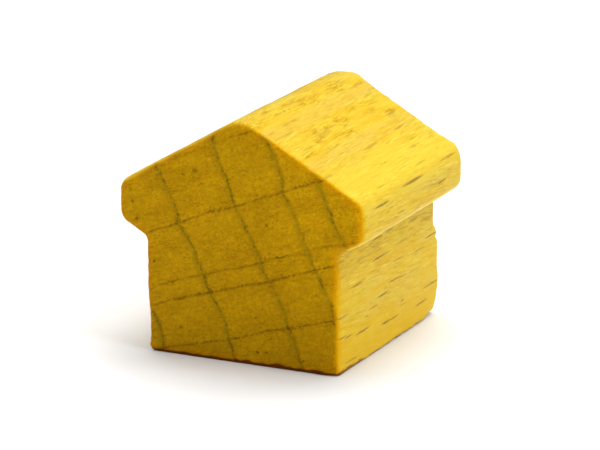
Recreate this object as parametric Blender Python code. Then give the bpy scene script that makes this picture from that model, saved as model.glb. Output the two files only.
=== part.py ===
"""A small wooden board game token in the shape of a house.

The real token is a single piece of beech. A strip of wood is milled to the outline of
a house, with eaves that stand out over the walls. The strip is sawn into slices, and
the slices are tumbled and dyed. So the outline lies in the XZ plane, and the solid is
that outline extruded along Y, which is also the direction of the grain.

Frame: +Z up, the origin at the centre of the flat base, one gable facing -Y and the
other +Y. Lengths are in metres.
"""

import math

import bmesh
import bpy
from mathutils import Vector

MM = 0.001

# Driving dimensions. Left and right differ slightly, as the milled strip does.
DEPTH = 12.4 * MM                    # from gable to gable, along the grain
WALL_WIDTH = 10.3 * MM               # across the base
LEFT_WALL_LEAN = -0.17 * MM          # how far the top of a wall stands from its foot
RIGHT_WALL_LEAN = -0.01 * MM
LEFT_WALL_HEIGHT = 5.78 * MM         # from the base to the inside corner under the eave
RIGHT_WALL_HEIGHT = 6.17 * MM
LEFT_OVERHANG = 1.61 * MM            # from the foot of a wall out to the eave
RIGHT_OVERHANG = 1.31 * MM
LEFT_EAVE_BOTTOM = 6.65 * MM         # height of the two corners of each eave
RIGHT_EAVE_BOTTOM = 6.85 * MM
LEFT_EAVE_TOP = 8.53 * MM
RIGHT_EAVE_TOP = 8.78 * MM
RIDGE_HEIGHT = 12.47 * MM            # before the ridge is rounded
RIDGE_OFFSET = -0.16 * MM

# Edge rounding left by the milling and the tumbling
BASE_RADIUS = 0.45 * MM
INSIDE_RADIUS = 0.45 * MM
EAVE_BOTTOM_RADIUS = 0.75 * MM
EAVE_TOP_RADIUS = 0.70 * MM
RIDGE_RADIUS = 1.50 * MM
GABLE_EDGE_RADIUS = 0.40 * MM        # all round both gables

ARC_STEP = math.radians(12.0)        # turn of one facet of a rounded edge
GABLE_EDGE_SEGMENTS = 4
GABLE_EDGE_LIMIT = math.radians(60.0)
SHARP_ANGLE = math.radians(40.0)
SAME_PLACE = 0.001 * MM

WOOD_COLOR = (0.84, 0.57, 0.05, 1.0)
WOOD_ROUGHNESS = 0.5


def outline():
    """Corners as (point, radius), anticlockwise with +X right and +Z up."""
    left = -WALL_WIDTH / 2
    right = WALL_WIDTH / 2
    left_eave = left - LEFT_OVERHANG
    right_eave = right + RIGHT_OVERHANG
    half = DEPTH / 2
    return (
        (Vector((left, -half, 0.0)), BASE_RADIUS),
        (Vector((right, -half, 0.0)), BASE_RADIUS),
        (Vector((right + RIGHT_WALL_LEAN, -half, RIGHT_WALL_HEIGHT)), INSIDE_RADIUS),
        (Vector((right_eave, -half, RIGHT_EAVE_BOTTOM)), EAVE_BOTTOM_RADIUS),
        (Vector((right_eave, -half, RIGHT_EAVE_TOP)), EAVE_TOP_RADIUS),
        (Vector((RIDGE_OFFSET, -half, RIDGE_HEIGHT)), RIDGE_RADIUS),
        (Vector((left_eave, -half, LEFT_EAVE_TOP)), EAVE_TOP_RADIUS),
        (Vector((left_eave, -half, LEFT_EAVE_BOTTOM)), EAVE_BOTTOM_RADIUS),
        (Vector((left + LEFT_WALL_LEAN, -half, LEFT_WALL_HEIGHT)), INSIDE_RADIUS),
    )


def long_edge(bm, corner):
    """The edge along Y that runs through a corner of the outline."""
    for edge in bm.edges:
        if all(
            abs(vert.co.x - corner.x) < SAME_PLACE and abs(vert.co.z - corner.z) < SAME_PLACE
            for vert in edge.verts
        ):
            return edge
    raise ValueError(f"no long edge at {corner}")


def round_long_edges(bm, corners):
    """Roll each long edge to its own radius."""
    count = len(corners)
    for index, (point, radius) in enumerate(corners):
        before = corners[index - 1][0] - point
        after = corners[(index + 1) % count][0] - point
        between = before.angle(after)
        tangent = radius / math.tan(between / 2)
        turn = math.pi - between
        bmesh.ops.bevel(
            bm,
            geom=[long_edge(bm, point)],
            offset=tangent,
            offset_type="OFFSET",
            segments=max(2, math.ceil(turn / ARC_STEP)),
            profile=0.5,
            affect="EDGES",
        )


def token_mesh():
    """The outline as a face, extruded along the grain, with its long edges rounded."""
    corners = outline()
    bm = bmesh.new()
    verts = [bm.verts.new(point) for point, _ in corners]
    face = bm.faces.new(verts)
    extruded = bmesh.ops.extrude_face_region(bm, geom=[face])["geom"]
    far_verts = [item for item in extruded if isinstance(item, bmesh.types.BMVert)]
    bmesh.ops.translate(bm, verts=far_verts, vec=(0.0, DEPTH, 0.0))
    bmesh.ops.recalc_face_normals(bm, faces=bm.faces)
    round_long_edges(bm, corners)
    mesh = bpy.data.meshes.new("house_token")
    bm.to_mesh(mesh)
    bm.free()
    mesh.shade_smooth()
    mesh.set_sharp_from_angle(angle=SHARP_ANGLE)
    return mesh


def round_gable_edges(token):
    """Roll the edges round both gables with a Bevel modifier."""
    bevel = token.modifiers.new("gable_edges", "BEVEL")
    bevel.width = GABLE_EDGE_RADIUS
    bevel.offset_type = "OFFSET"
    bevel.segments = GABLE_EDGE_SEGMENTS
    bevel.limit_method = "ANGLE"
    bevel.angle_limit = GABLE_EDGE_LIMIT
    bevel.use_clamp_overlap = False
    bevel.harden_normals = True


def wood_material():
    """Beech, dyed yellow, with a satin surface."""
    material = bpy.data.materials.new("yellow_dyed_beech")
    material.use_nodes = True
    shader = material.node_tree.nodes["Principled BSDF"]
    shader.inputs["Base Color"].default_value = WOOD_COLOR
    shader.inputs["Roughness"].default_value = WOOD_ROUGHNESS
    shader.inputs["Metallic"].default_value = 0.0
    material.diffuse_color = WOOD_COLOR
    return material


def main():
    for obj in list(bpy.data.objects):
        bpy.data.objects.remove(obj, do_unlink=True)
    token = bpy.data.objects.new("house_token", token_mesh())
    token.data.materials.append(wood_material())
    bpy.context.collection.objects.link(token)
    round_gable_edges(token)


main()
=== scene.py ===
"""A small house-shaped token of yellow-dyed beech, on a pale floor in soft light.

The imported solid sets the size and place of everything. The shown mesh is a remesh of that
solid, moved onto the token's fine shape: every edge with its own roundness, chipped base
edges, a slightly wavy tumbled surface and torn grain on the roof. The wood's rings, rays,
flecks and pores are procedural. Lengths are in millimetres unless a name says otherwise.
"""

import math

import bmesh
import bpy
import numpy as np
from mathutils import Matrix, Vector, noise


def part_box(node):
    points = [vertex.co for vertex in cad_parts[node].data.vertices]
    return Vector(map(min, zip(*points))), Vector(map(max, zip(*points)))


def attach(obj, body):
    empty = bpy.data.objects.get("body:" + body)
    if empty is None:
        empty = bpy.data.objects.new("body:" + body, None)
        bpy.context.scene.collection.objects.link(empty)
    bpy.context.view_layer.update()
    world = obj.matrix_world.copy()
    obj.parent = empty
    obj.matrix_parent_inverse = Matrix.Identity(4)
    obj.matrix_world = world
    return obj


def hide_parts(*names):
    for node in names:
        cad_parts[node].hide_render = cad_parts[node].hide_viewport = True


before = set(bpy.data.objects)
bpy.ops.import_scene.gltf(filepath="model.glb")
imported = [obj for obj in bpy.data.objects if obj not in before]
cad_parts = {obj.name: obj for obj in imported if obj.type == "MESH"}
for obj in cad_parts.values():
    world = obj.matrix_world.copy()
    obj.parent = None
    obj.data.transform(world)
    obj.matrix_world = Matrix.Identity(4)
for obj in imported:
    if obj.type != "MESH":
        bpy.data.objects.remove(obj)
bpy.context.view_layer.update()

MM = 0.001
NODE = "house_token"

# ---------------------------------------------------------------- outline of the token
low, high = (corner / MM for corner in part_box(NODE))
LEFT_EAVE_X = low.x - 0.03
RIGHT_EAVE_X = high.x
RIGHT_EAVE_TOP = 8.78
HALF_DEPTH = (high.y - low.y) / 2
RIDGE = (-0.16, 12.47)                  # where the two slopes would meet
OUTLINE = (                             # corner, edge radius, radius at the back gable
    ((-5.18, 0.0), 0.37, 0.60),
    ((5.19, 0.0), 0.05, 0.55),
    ((5.14, 6.17), 0.42, 0.42),
    ((RIGHT_EAVE_X, 6.85), 0.81, 0.90),
    ((RIGHT_EAVE_X, RIGHT_EAVE_TOP), 0.85, 1.10),
    (RIDGE, 1.55, 1.85),
    ((LEFT_EAVE_X, 8.53), 0.63, 0.80),
    ((LEFT_EAVE_X, 6.65), 0.76, 0.90),
    ((-5.35, 5.78), 0.42, 0.42),
)
FRONT_ROUND = 0.30
BASE_ROUND = 0.04                       # the sawn lower edge of the front gable
BACK_ROUND = 0.46
BACK_CORNER_ROUND = 0.95                # added where the base, right wall and back meet
RIGHT_EDGE_ROUND = 0.10                 # added on the right upright edges of the front
LEFT_SLOPE_ROUND = 0.12                 # added on the front edge of the left slope
FRONT_CHIP_DEPTH = 0.03
WALL_CHIP_DEPTH = 0.055
WALL_CHIP_SHADE = 0.8                # painted shade on the right wall's foot; that of the front is 1
RIM_ON_GABLE, RIM_ON_SIDES = 0.30, 0.24     # how far the more deeply dyed rim reaches

# ---------------------------------------------------------------- mesh and waves
VOXEL = 0.096
LONG_EDGE = 0.150                       # longer edges of the mesh are cut in half
STEPS_TO_SURFACE = 5
GRADIENT_STEP = 0.004
SAME_PLACE = 0.001
SEED_STEPS = (17.31, 31.73, 5.17)       # how far apart the noise of two seeds is read
FRACTAL_FALL, FRACTAL_STEP = 0.8, 2.1
# Waves from the tumbling along X, Y and Z: amount, cycles per mm, seed, slow and then fine
WAVES = (
    ((0.030, 0.32, 1), (0.016, 1.3, 2)),
    ((0.012, 0.40, 3), (0.014, 1.5, 4)),
    ((0.030, 0.32, 5), (0.016, 1.3, 6)),
)
# Wear scales the rounding of the gable edges: change, cycles per mm, seed
WEAR = ((0.50, 0.75, 11), (0.22, 2.4, 12))
BACK_WEAR = (0.35, 1.5, 13)             # added towards the back
LEAST_WEAR, MOST_WEAR = 0.5, 1.6
TEAR_DEPTH = 0.035
TEAR_SPREAD = 1.35                      # how far a tear fades out across the grain
# Low ridges along the grain on the side faces: height, cycles per mm, seed, octaves
STREAK_LIFTS = ((0.010, (2.4, 0.16, 2.4), 9, 2), (0.010, (3.6, 0.5, 3.6), 10, 1))


def smooth(low_edge, high_edge, value):
    """0 below the low edge, 1 above the high edge. The edges may be given in either order."""
    t = np.clip((value - low_edge) / (high_edge - low_edge), 0.0, 1.0)
    return t * t * (3.0 - 2.0 * t)


def bell(value, centre, width):
    """1 at the centre, falling away on both sides."""
    return np.exp(-(((value - centre) / width) ** 2))


def field(p, scale, seed, octaves=1):
    """Noise from -1 to 1 at each point. scale is cycles per mm, one number or three."""
    shift = Vector([seed * step for step in SEED_STEPS])
    places = [Vector(point) + shift for point in p * np.asarray(scale, float)]
    if octaves == 1:
        return np.array([noise.noise(place) for place in places])
    return np.array([
        noise.fractal(place, FRACTAL_FALL, FRACTAL_STEP, octaves) for place in places
    ])


def waves(p, layers):
    """The sum of noise layers, each an amount and then what field takes after the points."""
    return sum(amount * field(p, *settings) for amount, *settings in layers)


def outline_distance(x, z, backness):
    """Signed distance to the rounded outline, with the radii growing towards the back."""
    corners = [np.array(corner) for corner, _, _ in OUTLINE]
    count = len(corners)
    radii = [r0 + (r1 - r0) * backness for _, r0, r1 in OUTLINE]
    best = np.full(len(x), -50.0)
    point = np.stack([x, z], axis=1)

    def keep(distance, valid):
        closer = valid & (np.abs(distance) < np.abs(best))
        best[closer] = distance[closer]

    tangents = []
    for i, corner in enumerate(corners):
        before = corners[i - 1] - corner
        after = corners[(i + 1) % count] - corner
        before /= np.linalg.norm(before)
        after /= np.linalg.norm(after)
        half = math.acos(np.clip(before @ after, -1, 1)) / 2
        bisector = (before + after) / np.linalg.norm(before + after)
        convex = before[0] * after[1] - before[1] * after[0] < 0
        tangents.append(radii[i] / math.tan(half))
        offset = point - corner - bisector * (radii[i] / math.sin(half))[:, None]
        length = np.linalg.norm(offset, axis=1)
        inside_sector = -(offset @ bisector) >= length * math.sin(half)
        distance = length - radii[i] if convex else radii[i] - length
        keep(distance, inside_sector)
    for i, corner in enumerate(corners):
        after = corners[(i + 1) % count] - corner
        size = np.linalg.norm(after)
        after /= size
        along = (point - corner) @ after
        valid = (along >= tangents[i]) & (along <= size - tangents[(i + 1) % count])
        keep((point - corner) @ np.array([after[1], -after[0]]), valid)
    return best


# Chips along the lower edge of the front gable: place, half width, height
FRONT_CHIP_HEIGHT = 0.12                # all along the edge
FRONT_CHIPS = (
    (-3.2, 0.28, 0.05), (-2.5, 0.24, 0.04), (-1.7, 0.28, 0.05), (-0.4, 0.20, 0.06),
    (0.20, 0.30, 0.08), (1.05, 0.25, 0.05), (1.90, 0.40, 0.12), (2.60, 0.20, 0.05),
    (3.15, 0.25, 0.05), (4.0, 0.35, 0.10), (4.85, 0.30, 0.04),
)
# Chips along the lower edge of the right wall: place along the depth, half width, height
WALL_CHIP_HEIGHT = 0.05
WALL_CHIPS = (
    (-4.9, 1.40, 0.13), (-3.6, 0.28, 0.08), (-5.9, 0.35, 0.06), (-1.8, 0.60, 0.06),
    (1.0, 0.70, 0.06), (3.4, 0.60, 0.04),
)


def chip_masks(p):
    """1 on the chipped lower edges of the front gable and the right wall, fading out above."""
    x, y, z = p.T
    front = sum(height * bell(x, at, half) for at, half, height in FRONT_CHIPS)
    front += FRONT_CHIP_HEIGHT
    wall = sum(height * bell(y, at, half) for at, half, height in WALL_CHIPS)
    wall += WALL_CHIP_HEIGHT
    on_front = (1.0 - smooth(front - 0.02, front + 0.05, z)) * smooth(-5.2, -5.8, y)
    on_wall = (1.0 - smooth(wall - 0.02, wall + 0.04, z)) * smooth(4.3, 4.8, x)
    return on_front, on_wall


def back_inset(p):
    """How far the back gable stands in, with a worn corner and a nick by the right wall."""
    x, _, z = p.T
    under_eave = smooth(4.25, 5.10, z) * (1.0 - smooth(6.1, 6.8, z))
    nick = bell(z, 4.06, 0.13)
    slow = smooth(2.6, 4.1, z) * (1.0 - smooth(6.2, 6.8, z))
    return smooth(3.4, 5.0, x) * (0.42 * under_eave + 0.20 * nick + 0.16 * slow)


def end_radius(p):
    """Rounding of the edges round each gable: tight in front, worn and uneven behind."""
    x, y, z = p.T
    behind = BACK_ROUND + BACK_CORNER_ROUND * bell(z, 0.0, 1.0) * smooth(2.8, 4.6, x)
    right_edge = smooth(4.6, 5.1, x) * (1.0 - smooth(8.2, 8.8, z))
    left_slope = smooth(0.5, -0.5, x) * smooth(8.2, 9.0, z)
    ahead = FRONT_ROUND + RIGHT_EDGE_ROUND * right_edge + LEFT_SLOPE_ROUND * left_slope
    rounded = np.maximum(smooth(0.05, 0.9, z), smooth(4.4, 5.0, x))
    ahead = BASE_ROUND + (ahead - BASE_ROUND) * rounded
    return np.where(y < 0.0, ahead, behind)


def solid_distance(p, warp, wear):
    """Signed distance to the token, with the rounding round both gables."""
    q = p + warp
    front_chip, wall_chip = chip_masks(p)
    q[:, 0] += WALL_CHIP_DEPTH * wall_chip
    q[:, 1] -= FRONT_CHIP_DEPTH * front_chip
    backness = smooth(3.0, 6.2, p[:, 1])
    flat = outline_distance(q[:, 0], q[:, 2], backness)
    radius = end_radius(p) * wear
    ends = np.abs(q[:, 1]) - HALF_DEPTH + np.where(p[:, 1] > 0.0, back_inset(p), 0.0)
    a = flat + radius
    b = ends + radius
    outside = np.hypot(np.maximum(a, 0.0), np.maximum(b, 0.0))
    return np.minimum(np.maximum(a, b), 0.0) + outside - radius


def gradient(p, warp, wear):
    """The slope of the signed distance, which points straight out of the surface."""
    columns = []
    for axis in range(3):
        move = np.zeros(3)
        move[axis] = GRADIENT_STEP
        ahead = solid_distance(p + move, warp, wear)
        behind = solid_distance(p - move, warp, wear)
        columns.append((ahead - behind) / (2 * GRADIENT_STEP))
    return np.stack(columns, axis=1)


def settle(p, warp, wear, direction=None):
    """Move the points onto the token, by the shortest way or along the given directions."""
    for _ in range(STEPS_TO_SURFACE):
        slope = gradient(p, warp, wear)
        way = slope if direction is None else direction
        rate = np.maximum((slope * way).sum(axis=1), 0.2)
        p = p - way * (solid_distance(p, warp, wear) / rate)[:, None]
    return p


def attribute_values(mesh, name):
    """A point attribute as an array with one row for each vertex."""
    attribute = mesh.attributes[name]
    is_vector = attribute.data_type == "FLOAT_VECTOR"
    values = np.empty(len(mesh.vertices) * (3 if is_vector else 1))
    attribute.data.foreach_get("vector" if is_vector else "value", values)
    return values.reshape(-1, 3) if is_vector else values


def split_long_edges(mesh):
    """Cut long edges in half, which gives the token's sharp edges points of their own."""
    bm = bmesh.new()
    bm.from_mesh(mesh)
    long_edges = [edge for edge in bm.edges if edge.calc_length() > LONG_EDGE]
    bmesh.ops.subdivide_edges(bm, edges=long_edges, cuts=1, use_grid_fill=True)
    bm.to_mesh(mesh)
    bm.free()


# ---------------------------------------------------------------- the roof slopes
SLOPE = np.array([RIGHT_EAVE_X - RIDGE[0], RIGHT_EAVE_TOP - RIDGE[1]])
SLOPE /= np.linalg.norm(SLOPE)          # down the right slope, as X and Z

# Torn grain on a slope: place along the depth, distance down from the ridge,
# half length along the grain, half width, strength
ROOF_TEARS = (
    (-3.9, 0.30, 0.5, 0.12, 0.9), (-5.6, 0.75, 0.6, 0.20, 0.8), (-3.6, 0.80, 0.6, 0.09, 0.8),
    (-2.4, 0.82, 0.35, 0.16, 1.0), (-1.5, 0.50, 0.9, 0.11, 0.9), (-0.3, 0.95, 1.0, 0.13, 1.0),
    (-0.2, 0.64, 0.8, 0.09, 0.9), (-1.2, 1.12, 0.6, 0.07, 0.9), (0.3, 1.05, 0.5, 0.10, 0.8),
    (2.5, 0.75, 0.3, 0.12, 0.9), (3.6, 0.62, 0.9, 0.11, 1.0), (3.4, 0.92, 0.6, 0.10, 1.0),
    (3.2, 1.18, 0.5, 0.08, 0.7), (4.8, 1.36, 0.7, 0.10, 0.8), (-5.4, 1.60, 0.6, 0.08, 0.6),
    (-3.3, 1.55, 0.8, 0.10, 0.5), (-2.6, 2.65, 0.5, 0.15, 0.8), (-1.6, 2.76, 0.8, 0.09, 0.9),
    (-2.6, 3.12, 0.3, 0.08, 1.0), (0.1, 2.72, 0.4, 0.20, 1.0), (0.5, 2.86, 0.4, 0.15, 1.0),
    (0.15, 3.20, 0.4, 0.08, 1.0), (1.9, 2.52, 0.6, 0.12, 0.8), (3.7, 2.60, 0.6, 0.13, 1.0),
    (4.3, 2.66, 0.4, 0.10, 0.9), (3.3, 3.10, 0.7, 0.11, 0.8), (-3.1, 3.26, 0.5, 0.11, 0.9),
    (-1.4, 3.50, 0.5, 0.08, 0.8), (-0.4, 3.60, 0.7, 0.15, 0.9), (-4.9, 3.65, 0.6, 0.13, 0.9),
    (-2.6, 3.92, 0.7, 0.08, 0.8), (-0.2, 3.82, 0.6, 0.07, 0.6), (4.6, 3.62, 0.7, 0.12, 0.9),
    (-4.2, 4.20, 0.3, 0.07, 0.7), (0.0, 4.10, 0.3, 0.06, 0.7), (3.6, 5.62, 0.5, 0.10, 1.0),
    (-1.3, 5.60, 0.3, 0.10, 0.6), (-3.9, 5.15, 0.3, 0.06, 0.8), (2.6, 6.02, 0.5, 0.07, 0.7),
    (-0.8, 6.06, 0.4, 0.05, 0.8), (0.8, 6.50, 0.8, 0.07, 0.6), (5.0, 6.00, 0.4, 0.15, 0.7),
    (5.5, 5.85, 0.3, 0.07, 0.8), (-4.5, 7.35, 1.2, 0.12, 0.6), (1.5, 7.45, 0.5, 0.10, 0.6),
    (-3.0, 6.45, 0.6, 0.06, 0.5), (4.6, 6.85, 0.5, 0.06, 0.5), (1.6, 5.20, 0.5, 0.05, 0.5),
)


def torn_grain(p):
    """How torn each point is. The left slope has the right one's tears, turned half round."""
    side_sign = np.where(p[:, 0] > RIDGE[0], 1.0, -1.0)
    down = (p[:, 0] - RIDGE[0]) * side_sign * SLOPE[0] + (p[:, 2] - RIDGE[1]) * SLOPE[1]
    tear = np.zeros(len(p))
    for y, distance, half_length, half_width, strength in ROOF_TEARS:
        across = (down - distance) / (TEAR_SPREAD * half_width)
        beside = (p[:, 1] * side_sign - y) / half_length
        tear = np.maximum(tear, strength * np.exp(-(across ** 2) - beside ** 4))
    return tear * (0.85 + 0.5 * field(p, (3.0, 1.2, 3.0), 7))


def away_from_faces(normal):
    """How far each normal turns away from the nearest flat face: 0 on it, more on edges."""
    faces = [(0.0, -1.0, 0.0), (0.0, 1.0, 0.0)]
    for i, (corner, _, _) in enumerate(OUTLINE):
        after = np.array(OUTLINE[(i + 1) % len(OUTLINE)][0]) - np.array(corner)
        after /= np.linalg.norm(after)
        faces.append((after[1], 0.0, -after[0]))
    return 1.0 - (normal @ np.array(faces).T).max(axis=1)


def remeshed_solid():
    """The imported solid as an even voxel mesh, in millimetres."""
    bm = bmesh.new()
    bm.from_mesh(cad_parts[NODE].data)
    bm.transform(Matrix.Scale(1 / MM, 4))
    bmesh.ops.remove_doubles(bm, verts=bm.verts, dist=SAME_PLACE)
    rough = bpy.data.meshes.new("rough")
    bm.to_mesh(rough)
    bm.free()
    carrier = bpy.data.objects.new("carrier", rough)
    bpy.context.scene.collection.objects.link(carrier)
    remesh = carrier.modifiers.new("remesh", "REMESH")
    remesh.mode = "VOXEL"
    remesh.voxel_size = VOXEL
    depsgraph = bpy.context.evaluated_depsgraph_get()
    mesh = bpy.data.meshes.new_from_object(carrier.evaluated_get(depsgraph))
    bpy.data.objects.remove(carrier)
    bpy.data.meshes.remove(rough)
    mesh.name = "token"
    return mesh


def add_point_attributes(mesh, masks):
    for name, values in masks.items():
        attribute = mesh.attributes.new(name, "FLOAT", "POINT")
        attribute.data.foreach_set("value", values.astype(np.float32))


def fitted_points(mesh):
    """Move the mesh onto the token. Returns its points and their normals."""
    p = attribute_values(mesh, "position")
    warp = np.stack([waves(p, layers) for layers in WAVES], axis=1)
    warp[:, 2] *= smooth(0.05, 1.2, p[:, 2])
    change, scale, seed = BACK_WEAR
    wear = 1.0 + waves(p, WEAR)
    wear += change * smooth(3.0, 5.5, p[:, 1]) * field(p, scale, seed)
    wear = np.clip(wear, LEAST_WEAR, MOST_WEAR)
    mesh.attributes["position"].data.foreach_set("vector", settle(p, warp, wear).ravel())

    # The new points of the split edges get their warp and wear from the old ones
    carried = mesh.attributes.new("warp", "FLOAT_VECTOR", "POINT")
    carried.data.foreach_set("vector", warp.ravel())
    carried = mesh.attributes.new("wear", "FLOAT", "POINT")
    carried.data.foreach_set("value", wear)
    split_long_edges(mesh)
    warp = attribute_values(mesh, "warp")
    wear = attribute_values(mesh, "wear")
    outward = np.empty(len(mesh.vertices) * 3)
    mesh.vertex_normals.foreach_get("vector", outward)
    p = settle(attribute_values(mesh, "position"), warp, wear, outward.reshape(-1, 3))
    for name in ("warp", "wear"):
        mesh.attributes.remove(mesh.attributes[name])
    normal = gradient(p, warp, wear)
    return p, normal / np.maximum(np.linalg.norm(normal, axis=1), 1e-6)[:, None]


def token_mesh():
    """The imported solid, remeshed finely and moved onto the token's fine shape."""
    mesh = remeshed_solid()
    p, normal = fitted_points(mesh)

    end_grain = smooth(0.62, 0.93, np.abs(normal[:, 1]))
    side = 1.0 - end_grain
    from_outline = np.minimum(outline_distance(p[:, 0], p[:, 2], np.zeros(len(p))), 0.0)
    from_gable = HALF_DEPTH - np.abs(p[:, 1])
    rim = np.exp(-((from_outline / RIM_ON_GABLE) ** 2) - (from_gable / RIM_ON_SIDES) ** 2)
    sloped = side * smooth(0.55, 0.8, normal[:, 2])
    # Where a pale highlight is painted along the lower edge of the overhang
    eave_highlight = smooth(-0.42, -0.78, normal[:, 2]) * smooth(5.4, 5.7, p[:, 0]) * side
    tear = np.clip(torn_grain(p) * sloped, 0.0, 1.0)

    lift = side * (waves(p, STREAK_LIFTS) - TEAR_DEPTH * tear)
    lift *= smooth(0.02, 0.3, p[:, 2])
    p += normal * lift[:, None]
    p[:, 2] = np.maximum(p[:, 2], 0.0)

    edge = smooth(0.02, 0.16, away_from_faces(normal)) * (1.0 - smooth(11.0, 11.6, p[:, 2]))
    # Painted shade along the chipped feet of the front gable and right wall, where they meet
    # the floor
    front_chip, wall_chip = chip_masks(p)
    contact_shade = np.maximum(front_chip, WALL_CHIP_SHADE * wall_chip)
    mesh.attributes["position"].data.foreach_set("vector", (p * MM).ravel())
    add_point_attributes(mesh, {
        "end_grain": end_grain, "edge": edge, "rim": rim, "tear": tear, "eave_highlight": eave_highlight,
        "contact_shade": contact_shade, "upward": normal[:, 2],
    })
    mesh.update()
    mesh.shade_smooth()
    return mesh


# ---------------------------------------------------------------- colours, linear
END_WOOD = ((0.500, 0.268, 0.0006), (0.565, 0.312, 0.0012))     # darker and lighter
END_OLIVE = (0.330, 0.205, 0.0020)
END_RUST = (0.500, 0.215, 0.0005)
END_DARK_STROKE = (0.320, 0.152, 0.0005)
END_PALE_STROKE = (0.690, 0.420, 0.0040)
END_PORE = (0.220, 0.105, 0.0005)
END_RING = (0.130, 0.075, 0.0015)
END_RAY = (0.180, 0.070, 0.0005)
END_SPECK = (0.090, 0.030, 0.0005)
END_LOW_PATCH = (0.400, 0.200, 0.0010)
SIDE_WOOD = ((0.545, 0.338, 0.0020), (0.560, 0.392, 0.0160))
SIDE_PALE = (0.530, 0.378, 0.0330)
SIDE_DULL = (0.520, 0.338, 0.0340)
SIDE_LINE = (0.420, 0.245, 0.0040)
SIDE_NICK = (0.330, 0.195, 0.0050)
SIDE_GLINT = (0.720, 0.530, 0.0500)
# Painted shade on the wall under the overhang
UNDER_EAVE_SHADE = (0.500, 0.335, 0.0080)
RIPPED = (0.360, 0.205, 0.0025)
# Painted shade in the torn grain and its slits, and a painted highlight on the raised fibres
TORN_SHADE = (0.450, 0.235, 0.0008)
SLIT_SHADE = (0.260, 0.125, 0.0008)
RAISED_HIGHLIGHT = (0.760, 0.590, 0.0700)
LOW_SLOPE = (0.640, 0.520, 0.0400)
FOOT = (0.570, 0.348, 0.0010)
FLECK = (0.140, 0.082, 0.0180)
EDGE_DYE = (0.575, 0.345, 0.0030)
# Painted highlight along the lower edge of the overhang
EAVE_HIGHLIGHT = (0.860, 0.700, 0.1500)
# Painted shade at the chipped feet
BASE_SHADE = (0.125, 0.018, 0.0003)
# Factors on the colours
END_TINT = (0.875, 0.875, 0.875)
# Painted light: the gable lighter higher up and towards the right
END_LIGHT_ABOVE = (1.13, 1.13, 1.13)
END_LIGHT_RIGHT = (1.07, 1.07, 1.0)
# Painted light: side faces that look up are made lighter
UPWARD_LIGHT = (1.07, 1.08, 1.04)
RIM_DYE = ((1.14, 0.90, 0.10), (1.30, 1.12, 0.60))              # upright and upward rims
GLOSS_TINT = (1.0, 0.70, 0.05)
PLAIN_COLOUR = (0.84, 0.57, 0.05)       # for views without nodes

SIDE_ROUGHNESS, END_ROUGHNESS = 0.50, 0.66
RAY_LEAN = math.radians(17.0)
FIBRE_LEAN = (0.05, 0.07)               # mm across and up for each mm along the depth
WALL_X = 5.15
SPECK_DEPTH = 1.5                       # how far each mark reaches under its face
FLECK_DEPTH = 0.6
SLOPE_FLECK_DEPTH = 0.8
DULL_BANDS = ((1.15, 2.35), (3.85, 4.85))       # distance down from the ridge
# How far the marks are moved at random, as layers of (cycles per mm, mm)
RING_WOBBLE = ((2.4, 0.13), (11.0, 0.11))
RAY_WOBBLE = ((3.0, 0.07), (13.0, 0.08))
SPECK_WOBBLE = ((7.0, 0.10),)
FLECK_WOBBLE = ((2.5, 0.05),)


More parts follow.
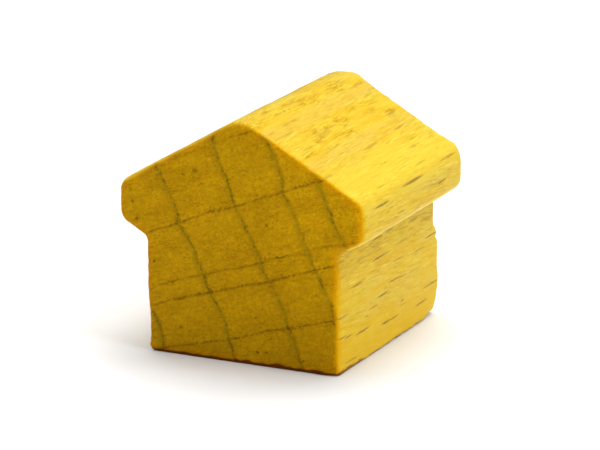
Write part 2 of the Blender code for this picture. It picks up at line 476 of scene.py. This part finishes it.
# ---------------------------------------------------------------- material
class Graph:
    """Short calls for building a node tree. All but node and put return output sockets."""

    def __init__(self, tree):
        self.tree = tree
        tree.nodes.clear()

    def node(self, kind, inputs=None, **settings):
        made = self.tree.nodes.new(kind)
        for name, value in settings.items():
            setattr(made, name, value)
        for name, value in (inputs or {}).items():
            self.put(made.inputs[name], value)
        return made

    def put(self, socket, value):
        if isinstance(value, bpy.types.NodeSocket):
            self.tree.links.new(value, socket)
        else:
            socket.default_value = value

    def math(self, operation, a, b=0.0):
        made = self.node("ShaderNodeMath", operation=operation)
        self.put(made.inputs[0], a)
        self.put(made.inputs[1], b)
        return made.outputs["Value"]

    def vector(self, operation, a, b=(0.0, 0.0, 0.0)):
        made = self.node("ShaderNodeVectorMath", operation=operation)
        self.put(made.inputs[0], a)
        self.put(made.inputs[1], b)
        return made.outputs["Value" if operation in ("LENGTH", "DOT_PRODUCT") else "Vector"]

    def parts(self, vector):
        return self.node("ShaderNodeSeparateXYZ", inputs={"Vector": vector}).outputs

    def combine(self, x, y, z):
        made = self.node("ShaderNodeCombineXYZ", inputs={"X": x, "Y": y, "Z": z})
        return made.outputs["Vector"]

    def total(self, values, operation="ADD"):
        """All the values taken together by one operation, each as soon as it is made.

        Cycles works through the nodes roughly in the order in which they were made and
        holds 255 numbers at a time. A material that needs more renders black, so a long
        list comes in as a generator.
        """
        result = None
        for value in values:
            result = value if result is None else self.math(operation, result, value)
        return result

    def ramp(self, value, start, end, to_start=0.0, to_end=1.0, linear=False):
        """From to_start at start to to_end at end, level past both. end may be the lower."""
        made = self.node(
            "ShaderNodeMapRange",
            interpolation_type="LINEAR" if linear else "SMOOTHSTEP",
            inputs={
                "Value": value, "From Min": start, "From Max": end,
                "To Min": to_start, "To Max": to_end,
            },
        )
        return made.outputs["Result"]

    def mix(self, factor, a, b, blend="MIX"):
        """Mix two colours. A Mix node has its A, B and Result once for each data type."""
        made = self.node("ShaderNodeMix", data_type="RGBA", blend_type=blend)
        self.put(made.inputs["Factor"], factor)
        self.put(made.inputs[6], a)
        self.put(made.inputs[7], b)
        return made.outputs[2]

    def mix_values(self, factor, a, b):
        made = self.node("ShaderNodeMix", data_type="FLOAT")
        self.put(made.inputs["Factor"], factor)
        self.put(made.inputs[2], a)
        self.put(made.inputs[3], b)
        return made.outputs[0]

    def toward(self, colour, factor, target, amount):
        """The colour, moved towards the target where the factor is high."""
        return self.mix(self.math("MULTIPLY", factor, amount), colour, opaque(target))

    def tint(self, colour, factor, tint):
        """The colour, multiplied by the tint where the factor is high."""
        return self.mix(factor, colour, opaque(tint), "MULTIPLY")

    def noise(self, place, cycles, detail=2.0, roughness=0.5):
        """Noise from 0 to 1. cycles is cycles per mm, one number or three."""
        if isinstance(cycles, tuple):
            place = self.vector("MULTIPLY", place, cycles)
            cycles = 1.0
        made = self.node("ShaderNodeTexNoise", inputs={
            "Vector": place, "Scale": cycles, "Detail": detail, "Roughness": roughness,
        })
        return made.outputs["Fac"]

    def wobble(self, place, layers, stretch=(1.0, 1.0, 1.0), detail=2.0):
        """The place, moved a little at random across the grain, coarsely and then finely."""
        moved = place
        stretched = self.vector("MULTIPLY", place, stretch)
        for cycles, move in layers:
            made = self.node("ShaderNodeTexNoise", inputs={
                "Vector": stretched, "Scale": cycles, "Detail": detail, "Roughness": 0.7,
            })
            centred = self.vector("SUBTRACT", made.outputs["Color"], (0.5, 0.5, 0.5))
            shift = self.vector("MULTIPLY", centred, (2 * move, 0.0, 2 * move))
            moved = self.vector("ADD", moved, shift)
        return moved

    def attribute(self, name):
        return self.node("ShaderNodeAttribute", attribute_name=name).outputs["Fac"]

    def curve(self, value, points, domain, reach):
        """A line through the given points, carried on straight past both ends."""
        (x0, y0), (x1, y1) = points[0], points[1]
        (x2, y2), (x3, y3) = points[-2], points[-1]
        first = (domain[0], y0 + (y1 - y0) / (x1 - x0) * (domain[0] - x0))
        last = (domain[1], y3 + (y3 - y2) / (x3 - x2) * (domain[1] - x3))
        full = [first, *points, last]
        unit = [
            ((a - domain[0]) / (domain[1] - domain[0]), (b - reach[0]) / (reach[1] - reach[0]))
            for a, b in full
        ]
        made = self.node("ShaderNodeFloatCurve")
        line = made.mapping.curves[0]
        line.points[0].location = unit[0]
        line.points[-1].location = unit[-1]
        for place in unit[1:-1]:
            line.points.new(*place)
        for bend in line.points:
            bend.handle_type = "VECTOR"
        made.mapping.update()
        self.put(made.inputs["Value"], self.ramp(value, *domain, linear=True))
        return self.ramp(made.outputs["Value"], 0.0, 1.0, *reach, linear=True)


def opaque(colour):
    """The colour with the alpha of 1 that colour sockets need."""
    return (*colour, 1.0)


# Growth rings on the gable, as (height, distance across). The wobble rounds the corners.
RINGS = (
    ((0.3, -4.38), (1.17, -4.50), (1.65, -4.71), (2.03, -5.00)),
    ((0.46, -0.52), (1.31, -0.81), (2.2, -1.0), (3.1, -1.57), (4.0, -2.05), (4.9, -2.38),
     (5.7, -2.76), (6.4, -3.19), (6.75, -3.53), (7.2, -3.50), (8.2, -3.97), (9.46, -4.67)),
    ((0.6, 3.10), (1.46, 2.81), (2.2, 2.48), (3.1, 2.24), (4.1, 1.67), (4.9, 1.14),
     (5.8, 0.86), (6.8, 0.29), (7.65, -0.19), (8.1, -0.45), (9.3, -0.81), (10.1, -1.29),
     (11.0, -1.52)),
    ((3.0, 4.89), (3.7, 4.76), (4.5, 4.33), (5.4, 3.86), (6.3, 3.48), (7.1, 3.19),
     (8.1, 2.71), (8.95, 2.19), (9.5, 2.19), (10.4, 1.90), (11.3, 1.43)),
    ((7.3, 5.19), (7.9, 4.86), (8.8, 4.48), (9.7, 4.10)),
)
# Rays on the gable: points as (distance across, height), where it fades in and out, strength
RAYS = (
    (((-5.3, 6.08), (-3.5, 6.77), (-1.7, 7.58), (-0.4, 7.97), (1.0, 8.55), (2.9, 9.31),
      (4.33, 9.84)), -5.6, 4.6, 1.0),
    (((-4.9, 3.36), (-3.2, 3.98), (-1.1, 4.65), (1.0, 5.27), (1.8, 5.65), (3.5, 6.12)),
     -5.0, 3.6, 0.75),
    (((-4.86, 2.41), (-3.0, 3.08), (-1.7, 3.46), (0.4, 4.12), (1.4, 4.36), (3.0, 4.98),
      (4.9, 5.60)), -5.3, 5.6, 1.0),
    (((-4.62, 0.17), (-3.2, 0.55), (-0.9, 1.08), (1.1, 1.79), (2.4, 2.12), (5.1, 2.90)),
     -5.0, 5.4, 1.0),
    (((-3.67, 10.08), (-1.67, 10.93)), -4.3, -1.5, 0.6),
    (((-1.3, 11.17), (0.5, 11.89)), -1.5, 0.7, 0.75),
    (((-1.14, 10.27), (-0.1, 10.65), (1.2, 11.15)), -1.2, 1.3, 0.35),
    (((3.57, 6.31), (5.3, 6.74), (6.3, 6.98)), 3.5, 6.6, 0.7),
    (((3.1, 7.05), (3.6, 7.27)), 3.1, 3.9, 0.8),
    (((3.1, 1.27), (3.6, 1.44)), 3.0, 3.8, 0.6),
)
# Dark specks on the gable: across, height, half length, strength
SPECKS = (
    (-4.85, 4.66, 0.07, 0.9), (-3.38, 1.42, 0.09, 0.6), (-2.88, 1.28, 0.07, 0.8),
    (-2.17, 1.09, 0.05, 0.9), (0.81, 0.70, 0.10, 1.0), (1.28, 0.74, 0.10, 0.7),
    (3.30, 0.55, 0.08, 0.8), (0.70, 2.45, 0.10, 0.5), (1.05, 2.95, 0.06, 0.5),
    (1.88, 5.70, 0.09, 0.7), (-2.60, 9.55, 0.14, 0.6), (-3.20, 9.30, 0.10, 0.6),
    (-6.15, 8.20, 0.09, 0.5), (-6.05, 7.60, 0.12, 0.6), (-5.80, 6.75, 0.12, 0.7),
    (1.30, 7.25, 0.12, 0.6), (0.22, 9.85, 0.07, 0.5), (-3.85, 3.70, 0.08, 0.6),
)
# Flecks on the right wall and fascia: place along the depth, height, half length along the
# grain, half thickness, strength
WALL_FLECKS = (
    (-1.20, 4.82, 1.20, 0.055, 1.0), (-3.95, 4.13, 0.75, 0.055, 0.9),
    (-5.65, 4.95, 0.45, 0.045, 0.5), (-5.90, 5.78, 0.50, 0.055, 0.5),
    (-3.40, 5.32, 0.80, 0.070, 0.4), (0.95, 4.13, 0.70, 0.060, 0.5),
    (1.65, 4.94, 1.10, 0.060, 0.5), (3.40, 3.95, 1.00, 0.045, 0.7),
    (0.45, 3.20, 0.75, 0.050, 0.8), (1.35, 3.12, 0.60, 0.040, 0.5),
    (-0.90, 2.78, 0.75, 0.060, 0.9), (-5.60, 2.92, 0.90, 0.055, 0.6),
    (-5.75, 1.88, 0.60, 0.055, 0.7), (-5.05, 1.76, 0.50, 0.055, 0.8),
    (-3.35, 1.58, 0.90, 0.065, 0.9), (-0.50, 1.24, 0.60, 0.060, 1.0),
    (0.50, 1.22, 0.70, 0.050, 0.8), (3.80, 1.08, 0.80, 0.065, 0.8),
    (5.00, 1.74, 1.00, 0.050, 0.9), (1.45, 1.82, 0.25, 0.055, 0.7),
    (1.50, 1.60, 0.45, 0.050, 0.5), (-2.05, 2.45, 0.60, 0.045, 0.6),
    (-2.90, 2.20, 0.30, 0.060, 0.5), (5.10, 4.33, 0.90, 0.045, 0.9),
    (4.40, 5.35, 0.80, 0.070, 0.4), (2.75, 5.70, 0.70, 0.080, 0.6),
    (-1.60, 5.88, 0.60, 0.070, 0.7), (-0.20, 5.92, 0.60, 0.060, 0.7),
    (-4.70, 0.46, 0.80, 0.045, 0.6), (2.40, 3.02, 0.70, 0.035, 0.4),
    (3.90, 5.72, 0.50, 0.050, 0.4), (-2.30, 5.78, 0.50, 0.050, 0.5),
)
FASCIA_FLECKS = (
    (-0.20, 8.60, 1.45, 0.085, 1.0), (-3.95, 8.32, 0.95, 0.070, 0.9),
    (-1.70, 7.40, 0.60, 0.060, 0.7), (3.35, 7.72, 0.65, 0.070, 0.9),
    (2.20, 7.80, 0.90, 0.045, 0.5),
    (-5.40, 7.65, 0.50, 0.050, 0.4), (0.30, 7.10, 0.40, 0.050, 0.4),
)
# Flecks on the right slope: place along the depth, distance down from the ridge, and so on
ROOF_FLECKS = (
    (-0.15, 4.88, 0.95, 0.100, 0.75), (3.60, 4.70, 0.70, 0.070, 0.85),
    (-5.70, 5.20, 0.65, 0.080, 0.6), (3.00, 6.03, 0.80, 0.060, 0.5),
    (-0.90, 6.05, 0.45, 0.050, 0.4), (4.40, 7.48, 1.10, 0.065, 0.9),
    (-3.15, 7.10, 0.50, 0.055, 0.5), (1.75, 7.05, 0.75, 0.080, 0.6),
    (-2.00, 3.00, 0.80, 0.150, 0.5), (-4.50, 3.32, 0.70, 0.110, 0.4),
    (4.45, 3.80, 0.60, 0.110, 0.6), (-3.10, 1.55, 1.10, 0.090, 0.4),
    (3.90, 0.82, 0.80, 0.070, 0.4), (-0.90, 0.38, 0.70, 0.080, 0.3),
    (2.30, 2.25, 0.70, 0.080, 0.3), (-2.30, 4.60, 0.50, 0.060, 0.4),
    (-3.40, 4.05, 0.60, 0.070, 0.4), (-4.90, 2.05, 1.50, 0.080, 0.3),
    (5.40, 2.00, 0.60, 0.080, 0.4), (-5.60, 1.60, 0.50, 0.050, 0.4),
)


def spindle_group():
    """A spindle-shaped mark: 1 in its middle, 0 past its half lengths."""
    tree = bpy.data.node_groups.new("spindle", "ShaderNodeTree")
    for name in ("Place", "Centre", "Inverse"):
        tree.interface.new_socket(name, in_out="INPUT", socket_type="NodeSocketVector")
    tree.interface.new_socket("Strength", in_out="INPUT", socket_type="NodeSocketFloat")
    tree.interface.new_socket("Mark", in_out="OUTPUT", socket_type="NodeSocketFloat")
    g = Graph(tree)
    given = g.node("NodeGroupInput").outputs
    offset = g.vector("SUBTRACT", given["Place"], given["Centre"])
    length = g.vector("LENGTH", g.vector("MULTIPLY", offset, given["Inverse"]))
    mark = g.math("MULTIPLY", g.ramp(length, 1.15, 0.55), given["Strength"])
    g.put(g.node("NodeGroupOutput").inputs["Mark"], mark)
    return tree


def spindles(g, group, place, marks):
    """The strongest of many spindle-shaped marks at each point."""
    return g.total((
        g.node("ShaderNodeGroup", node_tree=group, inputs={
            "Place": place, "Centre": centre,
            "Inverse": tuple(1.0 / half for half in halves), "Strength": strength,
        }).outputs["Mark"]
        for centre, halves, strength in marks
    ), "MAXIMUM")


def growth_rings(g, place):
    """The dark core of each ring, broken up, and the olive band inside it."""
    moved = g.parts(g.wobble(place, RING_WOBBLE, detail=1.0))
    patchy = g.math("MULTIPLY", g.ramp(g.noise(place, 0.8), 0.38, 0.60, 0.40, 1.0),
                    g.ramp(g.noise(place, 4.5, 3.0, 0.7), 0.42, 0.60, 0.25, 1.0))
    cores = []
    bands = []
    for line in RINGS:
        middle = g.curve(moved["Z"], line, (-0.5, 13.0), (-12.0, 12.0))
        off = g.math("SUBTRACT", moved["X"], middle)
        cores.append(g.ramp(g.math("ABSOLUTE", off), 0.12, 0.01))
        bands.append(g.math("MULTIPLY", g.ramp(off, -0.50, -0.02), g.ramp(off, 0.22, 0.04)))
    core = g.math("MULTIPLY", g.total(cores, "MAXIMUM"), patchy)
    return core, g.total(bands, "MAXIMUM")


def gable_rays(g, place):
    """The long rays across the gable, which fade in and out and are a little broken."""
    at = g.parts(place)
    moved = g.parts(g.wobble(place, RAY_WOBBLE, detail=1.0))
    patchy = g.math("MULTIPLY", g.ramp(g.noise(place, 1.1), 0.36, 0.56, 0.60, 1.0),
                    g.ramp(g.noise(place, 6.0, 3.0, 0.7), 0.38, 0.58, 0.35, 1.0))
    rays = []
    for line, start, end, strength in RAYS:
        middle = g.curve(moved["X"], line, (-7.5, 7.5), (-4.0, 15.0))
        off = g.math("ABSOLUTE", g.math("SUBTRACT", moved["Z"], middle))
        window = g.math("MULTIPLY", g.ramp(at["X"], start, start + 0.6),
                        g.ramp(at["X"], end, end - 0.4))
        drawn = g.math("MULTIPLY", g.ramp(off, 0.115, 0.01), window)
        rays.append(g.math("MULTIPLY", drawn, strength))
    return g.math("MULTIPLY", g.total(rays, "MAXIMUM"), patchy)


def end_grain_wood(g, place, group):
    """Colour and relief of the gables. The short rays and pores lean like the long rays.

    Relief is in millimetres.
    """
    at = g.parts(place)
    leaning = g.node("ShaderNodeVectorRotate", rotation_type="Y_AXIS", inputs={
        "Vector": place, "Angle": RAY_LEAN,
    }).outputs["Vector"]
    core, band = growth_rings(g, place)
    ray = gable_rays(g, place)
    strokes = g.noise(leaning, (1.5, 0.6, 9.0), 3.0, 0.65)
    cells = g.node("ShaderNodeTexVoronoi", feature="F1", inputs={
        "Vector": g.vector("MULTIPLY", leaning, (4.5, 0.8, 8.0)), "Scale": 1.0,
    })
    crowded = g.ramp(g.noise(place, 0.6, 3.0, 0.6), 0.40, 0.62, 0.20, 1.0)
    pore = g.math("MULTIPLY", g.ramp(cells.outputs["Distance"], 0.36, 0.14), crowded)
    speck = spindles(g, group, g.wobble(place, SPECK_WOBBLE), [
        ((x, -HALF_DEPTH, z), (half, SPECK_DEPTH, half * 0.8), strength)
        for x, z, half, strength in SPECKS
    ])
    grit = g.noise(place, 7.5, 3.0, 0.75)
    mottle = g.noise(leaning, (0.56, 0.56, 1.12), 3.0, 0.55)
    rust = g.noise(leaning, (1.8, 1.8, 3.6), 3.0, 0.7)

    darker, lighter = END_WOOD
    colour = g.mix(g.ramp(mottle, 0.35, 0.65), opaque(darker), opaque(lighter))
    colour = g.toward(colour, band, END_OLIVE, 0.60)
    colour = g.toward(colour, g.ramp(rust, 0.52, 0.66), END_RUST, 0.40)
    colour = g.toward(colour, g.ramp(strokes, 0.54, 0.70), END_DARK_STROKE, 0.45)
    colour = g.toward(colour, g.ramp(strokes, 0.46, 0.30), END_PALE_STROKE, 0.35)
    colour = g.toward(colour, pore, END_PORE, 0.55)
    colour = g.toward(colour, core, END_RING, 0.85)
    colour = g.toward(colour, ray, END_RAY, 0.85)
    colour = g.toward(colour, speck, END_SPECK, 0.80)
    shade = g.ramp(grit, 0.28, 0.72, 0.74, 1.26, linear=True)
    colour = g.vector("MULTIPLY", colour, g.combine(shade, shade, shade))

    # Slow changes over the gable: lighter above and on the right, which is painted light, and
    # darker in patches near the base
    colour = g.tint(colour, g.ramp(at["Z"], 0.5, 7.5, linear=True), END_LIGHT_ABOVE)
    colour = g.tint(colour, 1.0, END_TINT)
    right = g.math("MULTIPLY", g.ramp(at["X"], 0.5, 4.0), g.ramp(at["Z"], 2.0, 4.0))
    colour = g.tint(colour, right, END_LIGHT_RIGHT)
    # Darker in patches towards the base
    low_patches = g.math("MULTIPLY", g.ramp(at["Z"], 1.6, 0.3),
                   g.ramp(g.noise(place, 0.9, 3.0), 0.40, 0.62))
    colour = g.toward(colour, low_patches, END_LOW_PATCH, 0.25)

    relief = g.total([
        g.math("MULTIPLY", core, -0.012),
        g.math("MULTIPLY", ray, -0.014),
        g.math("MULTIPLY", pore, -0.014),
        g.math("MULTIPLY", speck, -0.035),
        g.math("MULTIPLY", grit, 0.030),
        g.math("MULTIPLY", strokes, 0.030),
    ])
    return colour, relief


def mark_places(g, place):
    """Where the side marks are looked up: as they are, and with the slope laid flat.

    The left side has the marks of the right side, turned half round. With the slope laid
    flat, X is the distance down from the ridge and Z the height above the slope.
    """
    at = g.parts(place)
    across = g.math("SUBTRACT", at["X"], RIDGE[0])
    turned_round = g.combine(
        g.math("ADD", g.math("ABSOLUTE", across), RIDGE[0]),
        g.math("MULTIPLY", at["Y"], g.math("SIGN", across)),
        at["Z"],
    )
    from_ridge = g.vector("SUBTRACT", turned_round, (RIDGE[0], 0.0, RIDGE[1]))
    down = g.vector("DOT_PRODUCT", from_ridge, (SLOPE[0], 0.0, SLOPE[1]))
    above = g.vector("DOT_PRODUCT", from_ridge, (-SLOPE[1], 0.0, SLOPE[0]))
    return turned_round, g.combine(down, g.parts(turned_round)["Y"], above)


def side_flecks(g, place, turned_round, flat_slope, group):
    """The cut rays that show as dark flecks along the grain."""
    moved = g.wobble(place, FLECK_WOBBLE, (1.0, 0.6, 1.0), 3.0)
    shift = g.vector("SUBTRACT", moved, place)
    on_walls = [
        ((x, y, z), (FLECK_DEPTH, length, thickness), strength)
        for x, marks in ((WALL_X, WALL_FLECKS), (RIGHT_EAVE_X - 0.2, FASCIA_FLECKS))
        for y, z, length, thickness, strength in marks
    ]
    on_slope = [
        ((distance, y, 0.0), (thickness, length, SLOPE_FLECK_DEPTH), strength)
        for y, distance, length, thickness, strength in ROOF_FLECKS
    ]
    return g.math(
        "MAXIMUM",
        spindles(g, group, g.vector("ADD", turned_round, shift), on_walls),
        spindles(g, group, g.vector("ADD", flat_slope, shift), on_slope),
    )


def side_grain_wood(g, place, group):
    """Colour, relief in millimetres and fibres of the walls, the eaves and the slopes."""
    at = g.parts(place)
    tear = g.attribute("tear")
    upward = g.ramp(g.attribute("upward"), 0.55, 0.85)
    lean_x, lean_z = (g.math("MULTIPLY", at["Y"], lean) for lean in FIBRE_LEAN)
    leaning = g.vector("ADD", place, g.combine(lean_x, 0.0, lean_z))
    along = g.noise(leaning, (2.6, 0.22, 2.6), 5.0, 0.65)
    fibre = g.noise(leaning, (9.5, 0.55, 9.5), 4.0, 0.7)
    shreds = g.noise(leaning, (9.0, 1.1, 9.0), 3.0, 0.7)
    calm = g.noise(leaning, (0.9, 0.22, 0.9))
    broad = g.noise(place, (0.656, 0.115, 0.656), 3.0)
    rough = g.math("MULTIPLY", g.ramp(calm, 0.40, 0.60, 0.25, 1.0),
                   g.ramp(at["Z"], 1.2, 4.2, 0.45, 1.0))

    turned_round, flat_slope = mark_places(g, place)
    down = g.parts(flat_slope)["X"]
    slope = g.ramp(g.parts(flat_slope)["Z"], -0.6, -0.3)
    fleck = g.total([
        side_flecks(g, place, turned_round, flat_slope, group),
        g.ramp(fibre, 0.34, 0.48, 0.50, 1.0),
        g.ramp(upward, 0.0, 1.0, 1.0, 0.55),
    ], "MULTIPLY")
    lines = g.math("MULTIPLY", g.ramp(fibre, 0.52, 0.60), rough)
    glints = g.math("MULTIPLY", g.ramp(fibre, 0.44, 0.36), rough)
    nicks = g.total([
        g.ramp(shreds, 0.57, 0.62), rough, g.ramp(upward, 0.0, 1.0, 1.0, 0.5),
    ], "MULTIPLY")
    torn = g.math("MULTIPLY", tear, g.ramp(shreds, 0.48, 0.53))
    slits = g.math("MULTIPLY", tear, g.ramp(shreds, 0.58, 0.62))
    raised = g.math("MULTIPLY", tear, g.ramp(shreds, 0.44, 0.40))
    under_eave = g.math("MULTIPLY", g.ramp(at["Z"], 4.7, 5.7), g.ramp(at["Z"], 6.7, 6.4))
    ripped = g.math("MULTIPLY", under_eave, g.ramp(shreds, 0.51, 0.56))
    dull_bands = g.total([
        g.math("MULTIPLY", g.ramp(down, start, start + 0.3), g.ramp(down, end, end - 0.3))
        for start, end in DULL_BANDS
    ])
    dull = g.total([dull_bands, slope, g.ramp(along, 0.30, 0.60, 0.35, 1.0)], "MULTIPLY")

    darker, lighter = SIDE_WOOD
    colour = g.mix(g.ramp(along, 0.40, 0.58), opaque(darker), opaque(lighter))
    colour = g.toward(colour, g.ramp(broad, 0.48, 0.66), SIDE_PALE, 0.65)
    colour = g.toward(colour, dull, SIDE_DULL, 0.70)
    colour = g.toward(colour, lines, SIDE_LINE, 0.55)
    colour = g.toward(colour, nicks, SIDE_NICK, 0.55)
    colour = g.toward(colour, glints, SIDE_GLINT, 0.55)
    # Painted shade: a darker band on the wall under the overhang
    colour = g.toward(colour, under_eave, UNDER_EAVE_SHADE, 0.12)
    colour = g.toward(colour, ripped, RIPPED, 0.45)
    # Painted shade in the torn grain and its slits, and a painted highlight on the raised
    # fibres beside them
    colour = g.toward(colour, torn, TORN_SHADE, 0.95)
    colour = g.toward(colour, slits, SLIT_SHADE, 0.80)
    colour = g.toward(colour, raised, RAISED_HIGHLIGHT, 0.60)
    # Painted light: lighter where the surface faces up
    colour = g.tint(colour, upward, UPWARD_LIGHT)
    low_slope = g.math("MULTIPLY", g.ramp(down, 4.9, 5.9), slope)
    colour = g.toward(colour, low_slope, LOW_SLOPE, 0.30)
    colour = g.toward(colour, g.ramp(at["Z"], 3.0, 0.4), FOOT, 0.70)
    colour = g.toward(colour, fleck, FLECK, 0.90)
    # Rounded edges soak up more dye, and the lower edge of the overhang gets a pale painted
    # highlight
    colour = g.toward(colour, g.attribute("edge"), EDGE_DYE, 0.45)
    colour = g.toward(colour, g.attribute("eave_highlight"), EAVE_HIGHLIGHT, 0.75)

    relief = g.total([
        g.math("MULTIPLY", along, 0.070),
        g.math("MULTIPLY", fibre, 0.045),
        g.math("MULTIPLY", shreds, 0.020),
        g.math("MULTIPLY", fleck, -0.012),
        g.math("MULTIPLY", torn, -0.030),
        g.math("MULTIPLY", raised, 0.020),
        g.math("MULTIPLY", ripped, -0.020),
    ])
    return colour, relief, fibre


def wood_material():
    """Beech with a satin yellow dye, blended from its end grain and its side grain."""
    material = bpy.data.materials.new("dyed_beech")
    material.use_nodes = True
    g = Graph(material.node_tree)
    metres = g.node("ShaderNodeTexCoord").outputs["Object"]
    place = g.vector("MULTIPLY", metres, (1 / MM, 1 / MM, 1 / MM))
    group = spindle_group()
    end_grain = g.attribute("end_grain")
    end_colour, end_relief = end_grain_wood(g, place, group)
    side_colour, side_relief, fibre = side_grain_wood(g, place, group)

    colour = g.mix(end_grain, side_colour, end_colour)
    upright, upward = RIM_DYE
    dyed = g.mix(g.ramp(g.attribute("upward"), 0.35, 0.75), opaque(upright), opaque(upward))
    colour = g.mix(g.attribute("rim"), colour, dyed, "MULTIPLY")
    # Painted shade at the chipped feet
    colour = g.toward(colour, g.attribute("contact_shade"), BASE_SHADE, 0.95)

    relief = g.mix_values(end_grain, side_relief, end_relief)
    bump = g.node("ShaderNodeBump", inputs={
        "Height": relief, "Strength": 1.0, "Distance": MM,
    })
    roughness = g.total([
        g.ramp(end_grain, 0.0, 1.0, SIDE_ROUGHNESS, END_ROUGHNESS),
        g.ramp(fibre, 0.3, 0.7, -0.06, 0.06),
        g.math("MULTIPLY", g.attribute("edge"), -0.06),
        g.math("MULTIPLY", g.attribute("tear"), 0.15),
    ])
    shader = g.node("ShaderNodeBsdfPrincipled", inputs={
        "Base Color": colour, "Roughness": roughness, "Normal": bump.outputs["Normal"],
        "Specular IOR Level": 0.20, "Specular Tint": opaque(GLOSS_TINT),
        "Subsurface Weight": 0.30, "Subsurface Radius": (1.0, 0.30, 0.05),
        "Subsurface Scale": 0.25 * MM,
    })
    output = g.node("ShaderNodeOutputMaterial")
    g.put(output.inputs["Surface"], shader.outputs["BSDF"])
    material.diffuse_color = opaque(PLAIN_COLOUR)
    return material


# ---------------------------------------------------------------- studio, in metres
FLOOR_HALF_SIZE = 3.0
FLOOR_LOWERED = 0.005 * MM              # keeps the floor clear of the base
FLOOR_GREY = 0.78
AIM = Vector((0.0, 0.0, 0.006))
SOFTBOXES = (                           # name, place, size, power
    ("back", (-0.03, 0.46, 1.22), 0.6, 5.4),
    ("overhead", (-0.12, 0.52, 1.25), 2.1, 29.0),
    ("side", (1.30, 0.00, 0.50), 0.9, 14.2),
    ("front", (0.10, -1.00, 1.00), 0.9, 1.8),
)
WORLD_STRENGTH = 0.25
CAMERA_AZIMUTH = math.radians(25.397)
CAMERA_ELEVATION = math.radians(15.817)
CAMERA_PLACE = Vector((83.37, -175.24, 60.49)) * MM
CAMERA_LENS, CAMERA_SENSOR = 240.9, 36.0        # mm


def floor_object():
    corners = [
        (x * FLOOR_HALF_SIZE, y * FLOOR_HALF_SIZE, -FLOOR_LOWERED)
        for x, y in ((-1, -1), (1, -1), (1, 1), (-1, 1))
    ]
    mesh = bpy.data.meshes.new("floor")
    mesh.from_pydata(corners, [], [(0, 1, 2, 3)])
    floor = bpy.data.objects.new("floor", mesh)
    bpy.context.scene.collection.objects.link(floor)
    material = bpy.data.materials.new("pale_floor")
    material.use_nodes = True
    shader = material.node_tree.nodes["Principled BSDF"]
    shader.inputs["Base Color"].default_value = (FLOOR_GREY, FLOOR_GREY, FLOOR_GREY, 1.0)
    shader.inputs["Roughness"].default_value = 0.9
    shader.inputs["Specular IOR Level"].default_value = 0.0
    mesh.materials.append(material)
    return floor


def softbox(name, place, size, power):
    """A square area light, aimed at the token."""
    light = bpy.data.lights.new(name, "AREA")
    light.shape = "SQUARE"
    light.size = size
    light.energy = power
    lamp = bpy.data.objects.new(name, light)
    lamp.location = place
    lamp.rotation_euler = (AIM - Vector(place)).to_track_quat("-Z", "Y").to_euler()
    bpy.context.scene.collection.objects.link(lamp)


def lights():
    for settings in SOFTBOXES:
        softbox(*settings)
    world = bpy.data.worlds.new("studio")
    world.use_nodes = True
    background = world.node_tree.nodes["Background"]
    background.inputs["Color"].default_value = (1.0, 1.0, 1.0, 1.0)
    background.inputs["Strength"].default_value = WORLD_STRENGTH
    bpy.context.scene.world = world


def camera():
    """A long lens, turned towards the token from in front, a little right and above."""
    back = Vector((
        math.sin(CAMERA_AZIMUTH) * math.cos(CAMERA_ELEVATION),
        -math.cos(CAMERA_AZIMUTH) * math.cos(CAMERA_ELEVATION),
        math.sin(CAMERA_ELEVATION),
    ))
    right = Vector((math.cos(CAMERA_AZIMUTH), math.sin(CAMERA_AZIMUTH), 0.0))
    up = back.cross(right)
    data = bpy.data.cameras.new("camera")
    data.sensor_width = CAMERA_SENSOR
    data.lens = CAMERA_LENS
    data.clip_start = 0.01
    data.clip_end = 20.0
    made = bpy.data.objects.new("camera", data)
    turn = Matrix((right, up, back)).transposed().to_4x4()
    made.matrix_world = Matrix.Translation(CAMERA_PLACE) @ turn
    bpy.context.scene.collection.objects.link(made)
    bpy.context.scene.camera = made


token = bpy.data.objects.new("dyed_token", token_mesh())
bpy.context.scene.collection.objects.link(token)
token.data.materials.clear()
token.data.materials.append(wood_material())
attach(token, "root")
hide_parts(NODE)

floor_object()
lights()
camera()
bpy.context.scene.view_settings.view_transform = "Standard"
